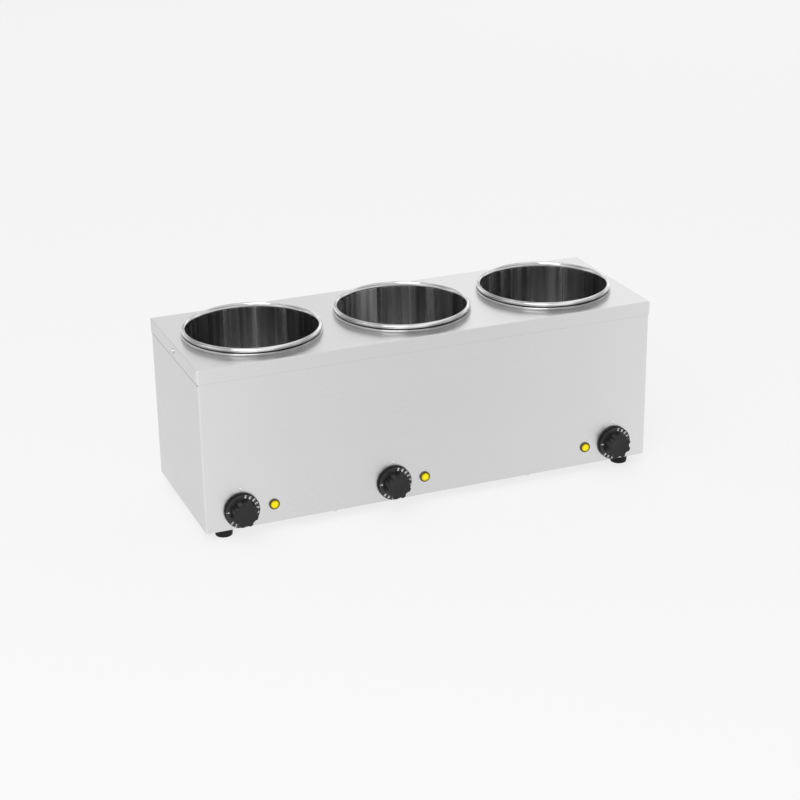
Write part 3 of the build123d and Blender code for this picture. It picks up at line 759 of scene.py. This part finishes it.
@dataclass
class WellAndPot:
    """One well with the pot that lifts out of it."""

    number: int
    segments: int = 192
    pot_wall: float = 0.8 * MILLIMETRE
    bead_radius: float = 3.4 * MILLIMETRE
    lip_depth: float = 9.0 * MILLIMETRE
    corner_radius: float = 16.0 * MILLIMETRE
    well_wall: float = 1.0 * MILLIMETRE
    well_play: float = 1.2 * MILLIMETRE
    collar_height: float = 4.0 * MILLIMETRE
    collar_round: float = 1.7 * MILLIMETRE
    collar_foot: float = 0.35 * MILLIMETRE
    stud_radius: float = 3.0 * MILLIMETRE
    stud_length: float = 20.0 * MILLIMETRE
    lip_steps: int = 16
    bead_steps: int = 24
    bead_from: float = 80.0
    corner_steps: int = 10
    collar_steps: int = 8
    foot_steps: int = 3
    rim_share: float = 0.7
    skin_limit: float = 1.1
    level_from: float = 0.8
    shine_from: float = 0.6
    streak_seed: float = 3.7

    def __post_init__(self) -> None:
        """Read the pot's and the well's places from the frame."""
        self.pot_low, self.pot_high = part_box(f"pot_{self.number}")
        self.well_low, self.well_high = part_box(f"well_{self.number}")
        middle = (self.pot_low + self.pot_high) / 2
        self.centre = (middle.x, middle.y)
        self.rim_radius = (self.pot_high.x - self.pot_low.x) / 2
        self.inner_radius = self.rim_radius - 2 * self.bead_radius

    def pot_outline(self) -> Outline:
        """Draw the pot's section: floor, drawn corner, wall, rolled rim, and back outside.

        Returns:
            The section, with its heights from the frame.
        """
        floor = self.pot_low.z
        inside = floor + self.pot_wall
        inner_corner = self.corner_radius - self.pot_wall
        outer = self.inner_radius + self.pot_wall
        bead = (self.inner_radius + self.bead_radius, self.pot_high.z - self.bead_radius)
        root = math.degrees(math.acos((bead[0] - outer) / self.bead_radius)) - 180.0
        shape = Outline().to(0.0, inside)
        shape.arc((self.inner_radius - inner_corner, inside + inner_corner), inner_corner, -90.0, 0.0,
                  self.corner_steps)
        shape.arc((bead[0], self.pot_high.z - self.lip_depth), self.bead_radius, 180.0, 90.0,
                  self.lip_steps, self.lip_depth)
        shape.arc(bead, self.bead_radius, self.bead_from, root, self.bead_steps)
        shape.arc((outer - self.corner_radius, floor + self.corner_radius), self.corner_radius, 0.0, -90.0,
                  self.corner_steps)
        return shape.to(0.0, floor)

    def well_outline(self) -> Outline:
        """Draw the well's section: cup, raised collar with a rounded shoulder, and the heater's stud.

        Returns:
            The section, with its heights from the frame.
        """
        inner = self.inner_radius + self.pot_wall + self.well_play
        outer = inner + self.well_wall
        top = self.well_high.z
        collar = (self.well_high.x - self.well_low.x) / 2
        cover = top - self.collar_height
        under = self.well_low.z + self.stud_length
        corner = self.corner_radius + self.well_play
        shape = Outline().to(0.0, under + self.well_wall)
        shape.arc((inner - corner, under + self.well_wall + corner), corner, -90.0, 0.0, self.collar_steps)
        shape.arc((inner + self.collar_foot, top - self.collar_foot), self.collar_foot, 180.0, 90.0,
                  self.foot_steps)
        shape.arc((collar - self.collar_round, top - self.collar_round), self.collar_round, 90.0, 0.0,
                  self.collar_steps)
        shape.to(collar, cover + 2 * self.collar_foot)
        shape.to(collar - self.collar_foot, cover + self.collar_foot)
        shape.to(collar - self.collar_foot, cover)
        shape.to(outer, cover)
        shape.arc((outer - corner, under + corner), corner, 0.0, -90.0, self.collar_steps)
        shape.to(self.stud_radius, under)
        shape.to(self.stud_radius, self.well_low.z)
        return shape.to(0.0, self.well_low.z)

    def zone(self, face: bmesh.types.BMFace) -> PotZone:
        """Tell which finish one of the pot's faces has.

        Args:
            face: a face of the pot, about the Z axis.

        Returns:
            Its zone.
        """
        middle = face.calc_center_median()
        radius = math.hypot(middle.x, middle.y)
        rim_from = self.pot_high.z - self.rim_share * self.lip_depth
        if middle.z > rim_from or radius > self.inner_radius + self.skin_limit * self.pot_wall:
            return PotZone.RIM
        faces_axis = face.normal.x * middle.x + face.normal.y * middle.y < 0.0
        upright_wall = abs(face.normal.z) < self.level_from
        return PotZone.INSIDE_WALL if faces_axis and upright_wall else PotZone.SPUN

    def build(self) -> None:
        """Make the pot and the well in place."""
        top = self.pot_high.z
        # Painted shade: the rim is painted darker over the underside of its bead.
        ring = PolishedRing(f"rim_polish_painted_shade_{self.number}", self.centre,
                            shade=(top - 2 * self.bead_radius, top - self.shine_from * self.bead_radius))
        wall = PotWall(f"pot_wall_{self.number}", self.centre, self.number * self.streak_seed)
        skin = SpunWall(f"spun_wall_{self.number}", self.centre)
        pot = turned(self.pot_outline(), self.segments)
        for face in pot.faces:
            face.material_index = self.zone(face).value
        SHOP.finish(pot, f"lift_out_pot_{self.number}", f"lift_out_pot_{self.number}", "pot_steel",
                    (ring.material(), wall.material(), skin.material()), upright(*self.centre),
                    (f"pot_{self.number}",))
        cover = self.well_high.z - self.collar_height
        # Painted shade: the collar is a darker copy of the rim's polished steel, painted darker still towards
        # the cover.
        collar = PolishedRing(f"collar_polish_painted_shade_{self.number}", self.centre, colour=(0.64, 0.64, 0.64),
                              dark=0.42, roughness=0.16, shade=(cover, self.well_high.z))
        well = turned(self.well_outline(), self.segments)
        for face in well.faces:
            face.material_index = int(face.calc_center_median().z <= cover)
        SHOP.finish(well, f"drawn_well_{self.number}", "case", "well_steel",
                    (collar.material(), skin.material()), upright(*self.centre), (f"well_{self.number}",))


class DialPlastics:
    """The finishes that all the dials share."""

    def __init__(self) -> None:
        """Make them."""
        self.plate = Moulded("dial_plate", (0.026, 0.026, 0.026), roughness=0.33, grain=1400.0).material()
        # Painted shade: the skirt's rounded edge is a darker copy of the plate's plastic, with less sheen.
        self.edge = Moulded("dial_edge_painted_shade", (0.007, 0.007, 0.007), roughness=0.55, grain=1400.0,
                            sheen=0.12).material()
        self.grip = Moulded("dial_grip", (0.009, 0.009, 0.009), roughness=0.50, sheen=0.42).material()
        self.ink = Moulded("dial_ink", (0.93, 0.93, 0.92), roughness=0.55, grain=3000.0,
                           grain_lean=0.05).material()


@dataclass
class DialScale:
    """The white scale printed on a dial's skirt: numbers that read outwards, and the off mark."""

    lowest: int = 30
    highest: int = 90
    step: int = 5
    lowest_angle: float = 227.0
    highest_angle: float = 13.0
    off_angle: float = 274.0
    middle_radius: float = 21.6 * MILLIMETRE
    text_size: float = 3.4 * MILLIMETRE
    text_stretch: float = 1.4
    stroke: float = 0.13 * MILLIMETRE
    curve_steps: int = 3
    thickness: float = 0.03 * MILLIMETRE
    dot_radius: float = 1.05 * MILLIMETRE
    dash_length: float = 1.9 * MILLIMETRE
    dash_width: float = 0.75 * MILLIMETRE
    dot_inward: float = 0.75
    dash_outward: float = 0.6
    dot_segments: int = 24
    merge_within: float = 0.005 * MILLIMETRE

    def place(self, clockwise: float, radius: float) -> Matrix:
        """Return the place of a mark, at an angle clockwise from the top, its X axis pointing outwards."""
        turn = Matrix.Rotation(math.radians(90.0 - clockwise), 4, "Z")
        return turn @ Matrix.Translation((radius, 0.0, 0.0))

    def number(self, reading: int, clockwise: float) -> bmesh.types.BMesh:
        """Make one number of the scale.

        Args:
            reading: the number.
            clockwise: its angle from the top, seen by the user.

        Returns:
            A thin closed mesh, on Z = 0.
        """
        curve = bpy.data.curves.new("reading", "FONT")
        curve.body = str(reading)
        curve.size = self.text_size
        curve.align_x = "CENTER"
        curve.align_y = "CENTER"
        curve.extrude = self.thickness
        curve.offset = self.stroke
        curve.resolution_u = self.curve_steps
        holder = bpy.data.objects.new("reading", curve)
        mesh = bmesh.new()
        mesh.from_mesh(bpy.data.meshes.new_from_object(holder))
        bpy.data.objects.remove(holder)
        bmesh.ops.remove_doubles(mesh, verts=mesh.verts[:], dist=self.merge_within)
        bmesh.ops.recalc_face_normals(mesh, faces=mesh.faces[:])
        stretch = Matrix.Diagonal((self.text_stretch, 1.0, 1.0, 1.0))
        place = self.place(clockwise, self.middle_radius) @ stretch
        bmesh.ops.transform(mesh, matrix=place, verts=mesh.verts[:])
        return mesh

    def off_mark(self) -> bmesh.types.BMesh:
        """Make the dot and the dash of the off position.

        Returns:
            Both as one mesh, on Z = 0.
        """
        mesh = bmesh.new()
        dot = self.place(self.off_angle, self.middle_radius - self.dot_inward * self.dash_length)
        bmesh.ops.create_cone(mesh, cap_ends=True, segments=self.dot_segments, radius1=self.dot_radius,
                              radius2=self.dot_radius, depth=2 * self.thickness, matrix=dot)
        dash = self.place(self.off_angle, self.middle_radius + self.dash_outward * self.dash_length)
        shape = Matrix.Diagonal((self.dash_length, self.dash_width, 2 * self.thickness, 1.0))
        bmesh.ops.create_cube(mesh, size=1.0, matrix=dash @ shape)
        return mesh

    def build(self) -> bmesh.types.BMesh:
        """Make the whole scale.

        Returns:
            One mesh, on Z = 0.
        """
        whole = self.off_mark()
        readings = range(self.lowest, self.highest + 1, self.step)
        turn = (self.highest_angle - self.lowest_angle) / (len(readings) - 1)
        for index, reading in enumerate(readings):
            part = self.number(reading, self.lowest_angle + turn * index)
            scratch = bpy.data.meshes.new("reading_mesh")
            part.to_mesh(scratch)
            part.free()
            whole.from_mesh(scratch)
            bpy.data.meshes.remove(scratch)
        return whole


@dataclass
class Dial:
    """One thermostat dial: a scale skirt and a lobed grip."""

    number: int
    face_height: float = 5.5 * MILLIMETRE
    back_gap: float = 1.0 * MILLIMETRE
    bevel: float = 0.8 * MILLIMETRE
    recess: float = 3.2 * MILLIMETRE
    wall: float = 2.2 * MILLIMETRE
    hub_radius: float = 7.5 * MILLIMETRE
    bore_radius: float = 3.02 * MILLIMETRE
    grip_radius: float = 18.7 * MILLIMETRE
    lobes: int = 8
    cut_radius: float = 4.6 * MILLIMETRE
    cut_depth: float = 2.8 * MILLIMETRE
    draft: float = 0.5 * MILLIMETRE
    edge_round: float = 1.0 * MILLIMETRE
    edge_steps: int = 5
    dish_radius: float = 12.4 * MILLIMETRE
    dish_depth: float = 0.25 * MILLIMETRE
    dish_slope: float = 2.0
    points_per_lobe: int = 24
    cut_soft: float = 0.9 * MILLIMETRE
    skirt_segments: int = 128
    bevel_steps: int = 5
    edge_share: float = 0.6
    grip_crease: float = 50.0

    def __post_init__(self) -> None:
        """Read the dial's place from the frame."""
        low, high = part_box(f"dial_{self.number}")
        panel_low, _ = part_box("case_wrap")
        self.radius = (high.x - low.x) / 2
        self.panel = panel_low.y
        self.reach = panel_low.y - low.y
        self.place = facing_user((low.x + high.x) / 2, self.panel, (low.z + high.z) / 2)

    def skirt(self) -> bmesh.types.BMesh:
        """Make the skirt, hollow behind, with its hub.

        Returns:
            The mesh, turned about Z, with its heights from the panel.
        """
        shape = Outline().to(self.bore_radius, self.back_gap).to(self.hub_radius, self.back_gap)
        shape.to(self.hub_radius, self.back_gap + self.recess)
        shape.to(self.radius - self.wall, self.back_gap + self.recess)
        shape.to(self.radius - self.wall, self.back_gap)
        shape.to(self.radius, self.back_gap)
        shape.arc((self.radius - self.bevel, self.face_height - self.bevel), self.bevel, 0.0, 90.0,
                  self.bevel_steps)
        shape.to(self.bore_radius, self.face_height)
        return turned(shape, self.skirt_segments, closed=True)

    def angles(self) -> list[float]:
        """Return the angles of the grip's points, in radians."""
        count = self.lobes * self.points_per_lobe
        return [math.tau * step / count for step in range(count)]

    def lobe_radius(self, angle: float) -> float:
        """Work out the grip's radius, with the cuts between its lobes softened.

        Args:
            angle: the angle round the axis, in radians.

        Returns:
            The radius there.
        """
        pitch = math.tau / self.lobes
        off = (angle + pitch / 2) % pitch - pitch / 2
        centre = self.grip_radius + self.cut_radius - self.cut_depth
        side = centre * math.sin(off)
        if abs(side) >= self.cut_radius:
            return self.grip_radius
        cut = centre * math.cos(off) - math.sqrt(self.cut_radius ** 2 - side ** 2)
        mix = max(0.0, min(1.0, 0.5 + 0.5 * (self.grip_radius - cut) / self.cut_soft))
        return cut * mix + self.grip_radius * (1.0 - mix) - self.cut_soft * mix * (1.0 - mix)

    def outline(self, inward: float, height: float) -> list[Vector]:
        """Work out the grip's outline, drawn in square to itself.

        Args:
            inward: how far it is drawn in.
            height: its height over the panel.

        Returns:
            Its points, anticlockwise.
        """
        points = [Vector((math.cos(a), math.sin(a), 0.0)) * self.lobe_radius(a) for a in self.angles()]
        drawn = []
        for before, point, after in zip(points[-1:] + points[:-1], points, points[1:] + points[:1]):
            along = (after - before).normalized()
            drawn.append(point + Vector((-along.y, along.x, 0.0)) * inward + Vector((0.0, 0.0, height)))
        return drawn

    def ring(self, radius: float, height: float) -> list[Vector]:
        """Return a circle with as many points as the outline."""
        return [Vector((radius * math.cos(a), radius * math.sin(a), height)) for a in self.angles()]

    def grip(self) -> bmesh.types.BMesh:
        """Make the lobed grip: drafted sides, a rounded edge and a face with a shallow round dish.

        Returns:
            The mesh, about Z, with its heights from the panel.
        """
        loops = [self.outline(0.0, self.face_height), self.outline(self.draft, self.reach - self.edge_round)]
        for step in range(1, self.edge_steps + 1):
            angle = math.pi / 2 * step / self.edge_steps
            inward = self.draft + self.edge_round * (1.0 - math.cos(angle))
            loops.append(self.outline(inward, self.reach - self.edge_round * (1.0 - math.sin(angle))))
        floor_radius = self.dish_radius - self.dish_slope * self.dish_depth
        loops.append(self.ring(self.dish_radius, self.reach))
        loops.append(self.ring(floor_radius, self.reach - self.dish_depth))
        mesh = bmesh.new()
        verts = [mesh.verts.new(point) for point in loops[0]]
        edges = [mesh.edges.new(pair) for pair in zip(verts, verts[1:] + verts[:1])]
        bmesh.ops.contextual_create(mesh, geom=edges)
        for loop in loops[1:]:
            fresh = [mesh.verts.new(point) for point in loop]
            rim = [mesh.edges.new(pair) for pair in zip(fresh, fresh[1:] + fresh[:1])]
            bmesh.ops.bridge_loops(mesh, edges=edges + rim)
            edges = rim
        bmesh.ops.contextual_create(mesh, geom=edges)
        bmesh.ops.recalc_face_normals(mesh, faces=mesh.faces[:])
        return mesh

    def build(self, plastics: DialPlastics) -> None:
        """Make the skirt, the grip and the scale in place.

        Args:
            plastics: the dials' finishes.
        """
        body = f"dial_group_{self.number}"
        skirt = self.skirt()
        # The outer part of the skirt's bevel takes the edge finish with its painted shade.
        edge_from = self.radius - self.edge_share * self.bevel
        for face in skirt.faces:
            middle = face.calc_center_median()
            face.material_index = int(math.hypot(middle.x, middle.y) > edge_from)
        SHOP.finish(skirt, f"dial_skirt_{self.number}", body, "dial_plastic",
                    (plastics.plate, plastics.edge), self.place, (f"dial_{self.number}",))
        SHOP.finish(self.grip(), f"dial_grip_{self.number}", body, "dial_plastic", (plastics.grip,),
                    self.place, (f"dial_{self.number}",), self.grip_crease)
        lift = Matrix.Translation((0.0, 0.0, self.face_height))
        SHOP.finish(DialScale().build(), f"dial_scale_{self.number}", body, "dial_plastic", (plastics.ink,),
                    self.place @ lift)


@dataclass
class Lamp:
    """One indicator lamp: a dark bezel with a domed yellow lens."""

    number: int
    flange: float = 2.2 * MILLIMETRE
    lens_radius: float = 5.8 * MILLIMETRE
    lens_seat: float = 1.7 * MILLIMETRE
    dome: float = 1.4 * MILLIMETRE
    barrel_radius: float = 6.2 * MILLIMETRE
    barrel_length: float = 20.0 * MILLIMETRE
    bore_radius: float = 4.6 * MILLIMETRE
    round_over: float = 0.6 * MILLIMETRE
    play: float = 0.05 * MILLIMETRE
    lip_share: float = 1 / 3
    shoulder_share: float = 0.2
    stem_share: float = 1 / 3
    segments: int = 72
    edge_steps: int = 5
    dome_steps: int = 12

    def __post_init__(self) -> None:
        """Read the lamp's place from the frame."""
        low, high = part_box(f"lamp_bezel_{self.number}")
        panel_low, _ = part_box("case_wrap")
        self.radius = (high.x - low.x) / 2
        self.centre = ((low.x + high.x) / 2, panel_low.y, (low.z + high.z) / 2)
        self.place = facing_user(*self.centre)

    def bezel(self) -> bmesh.types.BMesh:
        """Make the flange and the barrel behind it.

        Returns:
            The mesh, turned about Z, with its heights from the panel.
        """
        lip = self.lip_share * self.round_over
        seat = self.flange - self.lens_seat
        shape = Outline().to(self.bore_radius, -self.barrel_length)
        shape.to(self.barrel_radius, -self.barrel_length).to(self.barrel_radius, 0.0).to(self.radius, 0.0)
        shape.arc((self.radius - self.round_over, self.flange - self.round_over), self.round_over, 0.0, 90.0,
                  self.edge_steps)
        shape.to(self.lens_radius + self.play + lip, self.flange)
        shape.to(self.lens_radius + self.play, self.flange - lip)
        shape.to(self.lens_radius + self.play, seat).to(self.bore_radius, seat)
        return turned(shape, self.segments, closed=True)

    def lens(self) -> bmesh.types.BMesh:
        """Make the lens: a shallow dome on a short stem.

        Returns:
            The mesh, turned about Z, with its heights from the panel.
        """
        seat = self.flange - self.lens_seat
        shoulder = self.flange + self.shoulder_share * self.dome
        rise = self.flange + self.dome - shoulder
        ball = (self.lens_radius ** 2 + rise ** 2) / (2 * rise)
        sweep = math.degrees(math.asin(self.lens_radius / ball))
        stem = self.bore_radius - self.play
        foot = -self.stem_share * self.barrel_length
        shape = Outline().to(0.0, foot).to(stem, foot).to(stem, seat)
        shape.to(self.lens_radius, seat)
        shape.arc((0.0, self.flange + self.dome - ball), ball, 90.0 - sweep, 90.0, self.dome_steps)
        return turned(shape, self.segments)

    def build(self, bezel: bpy.types.Material) -> None:
        """Make the bezel and the lens in place.

        Args:
            bezel: the bezel's finish.
        """
        SHOP.finish(self.bezel(), f"lamp_ring_{self.number}", "case", "lamp_bezel", (bezel,), self.place,
                    (f"lamp_bezel_{self.number}",))
        glow = LampLens(f"lamp_glow_{self.number}", self.centre, self.lens_radius).material()
        SHOP.finish(self.lens(), f"lamp_dome_{self.number}", "case", "lamp_lens", (glow,), self.place,
                    (f"lamp_lens_{self.number}",))


@dataclass
class Foot:
    """One rubber foot."""

    corner: str
    taper: float = 1.3 * MILLIMETRE
    recess_radius: float = 6.0 * MILLIMETRE
    recess_depth: float = 8.0 * MILLIMETRE
    hole_radius: float = 2.1 * MILLIMETRE
    ring_depth: float = 0.35 * MILLIMETRE
    ring_from: float = 0.78
    ring_middle: float = 0.80
    ring_to: float = 0.82
    waist_share: float = 0.3
    segments: int = 96
    round_steps: int = 6

    def build(self, rubber: bpy.types.Material) -> None:
        """Make the foot in place.

        Args:
            rubber: its finish.
        """
        node = f"foot_{self.corner}"
        low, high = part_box(node)
        middle = (low + high) / 2
        radius = (high.x - low.x) / 2
        tread = radius - self.taper
        waist = radius - self.waist_share * self.taper
        shape = Outline().to(self.hole_radius, self.recess_depth).to(self.recess_radius, self.recess_depth)
        shape.to(self.recess_radius, 0.0)
        shape.arc((tread - self.taper, self.taper), self.taper, -90.0, 0.0, self.round_steps)
        shape.to(waist, self.ring_from * high.z)
        shape.to(waist - self.ring_depth, self.ring_middle * high.z)
        shape.to(waist, self.ring_to * high.z)
        shape.to(radius, high.z - self.ring_depth).to(radius - self.ring_depth, high.z)
        shape.to(self.hole_radius, high.z)
        foot = turned(shape, self.segments, closed=True)
        SHOP.finish(foot, f"rubber_foot_{self.corner}", "case", "foot_rubber", (rubber,),
                    upright(middle.x, middle.y), (node,))


class SlotFinish(Enum):
    """Finishes by material slot: name, colour, roughness, grain and how far the grain leans."""

    SHAFT = ("shaft_steel", PlainMetal("turned_shaft", (0.62, 0.62, 0.63), 0.28, 1500.0))
    SCREWS = ("screw_steel", PlainMetal("screw_steel", (0.72, 0.72, 0.73), 0.24, 1200.0, 0.06))
    PINS = ("pin_steel", PlainMetal("pin_steel", (0.78, 0.78, 0.785), 0.16, 1200.0, 0.04))
    CLAMPS = ("clamp_steel", PlainMetal("clamp_sheet", (0.52, 0.52, 0.53), 0.36, 500.0))
    NUTS = ("nut_steel", PlainMetal("plated_nut", (0.60, 0.60, 0.58), 0.30, 900.0))
    HEATERS = ("heater_aluminium", PlainMetal("cast_plate", (0.56, 0.56, 0.565), 0.52, 420.0, 0.30))
    COPPER = ("capillary_copper", PlainMetal("drawn_copper", (0.70, 0.40, 0.26), 0.32, 800.0))
    BRASS = ("brass_parts", PlainMetal("turned_brass", (0.72, 0.56, 0.26), 0.30, 900.0))
    SWITCHES = ("switch_plastic", Moulded("switch_case", (0.10, 0.095, 0.09), 0.52))
    BEZELS = ("lamp_bezel", Moulded("bezel_gloss", (0.075, 0.062, 0.008), 0.26, 1500.0, 0.04, sheen=0.3))
    GLANDS = ("gland_plastic", Moulded("gland_nylon", (0.035, 0.035, 0.036), 0.50))
    SEAL = ("seal_rubber", Moulded("seal_rubber", (0.05, 0.05, 0.05), 0.70))
    BLOCK = ("terminal_plastic", Moulded("terminal_block", (0.78, 0.76, 0.70), 0.42))

    def __init__(self, slot: str, finish: Any) -> None:
        """Keep the record's material slot and the finish of its nodes."""
        self.slot = slot
        self.finish = finish


def dress_packed_nodes() -> None:
    """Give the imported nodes, other than the bent sheets, the finish of their slot."""
    slots = {part["node"]: part["material_slot"] for part in frame["record"]["subparts"]}
    for choice in SlotFinish:
        material = choice.finish.material()
        for node, slot in slots.items():
            if slot == choice.slot:
                wear(node, material)


@dataclass(frozen=True)
class SoftLight:
    """One square soft light that faces a point."""

    name: str
    place: Place
    aim: Place
    size: float
    watts: float

    def hang(self) -> None:
        """Add the light to the scene."""
        data = bpy.data.lights.new(self.name, "AREA")
        data.size = self.size
        data.energy = self.watts
        lamp = bpy.data.objects.new(self.name, data)
        lamp.location = self.place
        lamp.rotation_euler = (Vector(self.aim) - Vector(self.place)).to_track_quat("-Z", "Y").to_euler()
        bpy.context.scene.collection.objects.link(lamp)


@dataclass
class Studio:
    """Plain pale floor, soft lights and the camera."""

    floor_size: float = 14.0
    floor_drop: float = 0.2 * MILLIMETRE
    floor_cells: int = 8
    floor_colour: Colour = (0.93, 0.93, 0.93)
    floor_roughness: float = 0.9
    shadow_share: float = 0.28
    world_strength: float = 0.62
    backdrop: float = 0.93
    frame_pixels: float = 800.0
    focal_pixels: float = 1866.0
    sensor: float = 36.0
    eye: Place = (-0.9463, -2.3422, 1.1402)
    azimuth: float = -21.902
    elevation: float = 22.110
    roll: float = 0.866
    view_limit: float = 50.0
    lights: tuple[SoftLight, ...] = (
        SoftLight("key_light", (-1.6, -2.2, 2.6), (0.0, 0.0, 0.1), 2.2, 38.0),
        SoftLight("back_light", (2.4, 2.9, 1.45), (0.1, 0.0, 0.2), 2.6, 4.0),
    )

    def seen_white(self, graph: Graph) -> Value:
        """Tell the rays that see the background: from the camera, in gloss or through glass.

        Args:
            graph: the graph that the answer is used in.

        Returns:
            1 for such a ray, otherwise 0.
        """
        path = graph.node("ShaderNodeLightPath", {}, {})
        camera, glass, gloss = (Value(graph, path.outputs[f"Is {kind} Ray"])
                                for kind in ("Camera", "Transmission", "Glossy"))
        seen = camera.maths("MAXIMUM", camera, glass)
        return seen.maths("MAXIMUM", seen, gloss)

    def floor(self) -> None:
        """Make the floor: pale, and seen nearly white with the object's shadow kept."""
        mesh = bmesh.new()
        place = Matrix.Translation((0.0, 0.0, -self.floor_drop))
        bmesh.ops.create_grid(mesh, x_segments=self.floor_cells, y_segments=self.floor_cells,
                              size=self.floor_size / 2, matrix=place)
        data = bpy.data.meshes.new("studio_floor")
        mesh.to_mesh(data)
        mesh.free()
        piece = bpy.data.objects.new("studio_floor", data)
        bpy.context.scene.collection.objects.link(piece)
        tree = FinishTree("studio_floor")
        tree.shade(Base_Color=self.floor_colour, Roughness=self.floor_roughness)
        glow = tree.node("ShaderNodeEmission", {}, {"Color": (1.0, 1.0, 1.0), "Strength": 1.0})
        share = self.seen_white(tree) * (1.0 - self.shadow_share)
        mix = tree.node("ShaderNodeMixShader", {}, {0: share, 1: tree.shader.outputs[0], 2: glow.outputs[0]})
        tree.feed(tree.output.inputs["Surface"], mix.outputs[0])
        data.materials.append(tree.material)

    def world(self) -> None:
        """Light from all round, seen as white."""
        world = bpy.data.worlds.new("studio_world")
        world.use_nodes = True
        bpy.context.scene.world = world
        graph = Graph(world.node_tree)
        background = graph.graph.nodes["Background"]
        graph.feed(background.inputs["Color"], (1.0, 1.0, 1.0))
        strength = self.seen_white(graph) * (self.backdrop - self.world_strength) + self.world_strength
        graph.feed(background.inputs["Strength"], strength)

    def camera(self) -> None:
        """Set the camera at the photograph's viewing angle."""
        data = bpy.data.cameras.new("photo_camera")
        data.sensor_width = self.sensor
        data.lens = self.sensor * self.focal_pixels / self.frame_pixels
        data.clip_end = self.view_limit
        camera = bpy.data.objects.new("photo_camera", data)
        turn = Matrix.Rotation(math.radians(self.azimuth), 4, "Z")
        tilt = Matrix.Rotation(math.radians(90.0 - self.elevation), 4, "X")
        roll = Matrix.Rotation(math.radians(-self.roll), 4, "Z")
        camera.matrix_world = Matrix.Translation(self.eye) @ turn @ tilt @ roll
        bpy.context.scene.collection.objects.link(camera)
        bpy.context.scene.camera = camera

    def build(self) -> None:
        """Set up the floor, the light and the camera."""
        self.floor()
        self.world()
        for light in self.lights:
            light.hang()
        self.camera()
        bpy.context.scene.view_settings.view_transform = "Standard"


def main() -> None:
    """Build every sub-assembly in order and report it."""
    logging.basicConfig(level=logging.INFO, format="%(name)s %(message)s")
    SheetCase().dress()
    dress_packed_nodes()
    for number in NUMBERS:
        WellAndPot(number).build()
    plastics = DialPlastics()
    bezel = replace(SlotFinish.BEZELS.finish, name="bezel_ring").material()
    for number in NUMBERS:
        Dial(number).build(plastics)
        Lamp(number).build(bezel)
    rubber = Moulded("foot_rubber", (0.014, 0.014, 0.014), roughness=0.62, grain=1800.0, grain_lean=0.25,
                     sheen=0.2).material()
    for corner in ("front_left", "front_right", "rear_left", "rear_right"):
        Foot(corner).build(rubber)
    Studio().build()
    LOG.info("%d new pieces", SHOP.count)


if __name__ == "__main__":
    main()
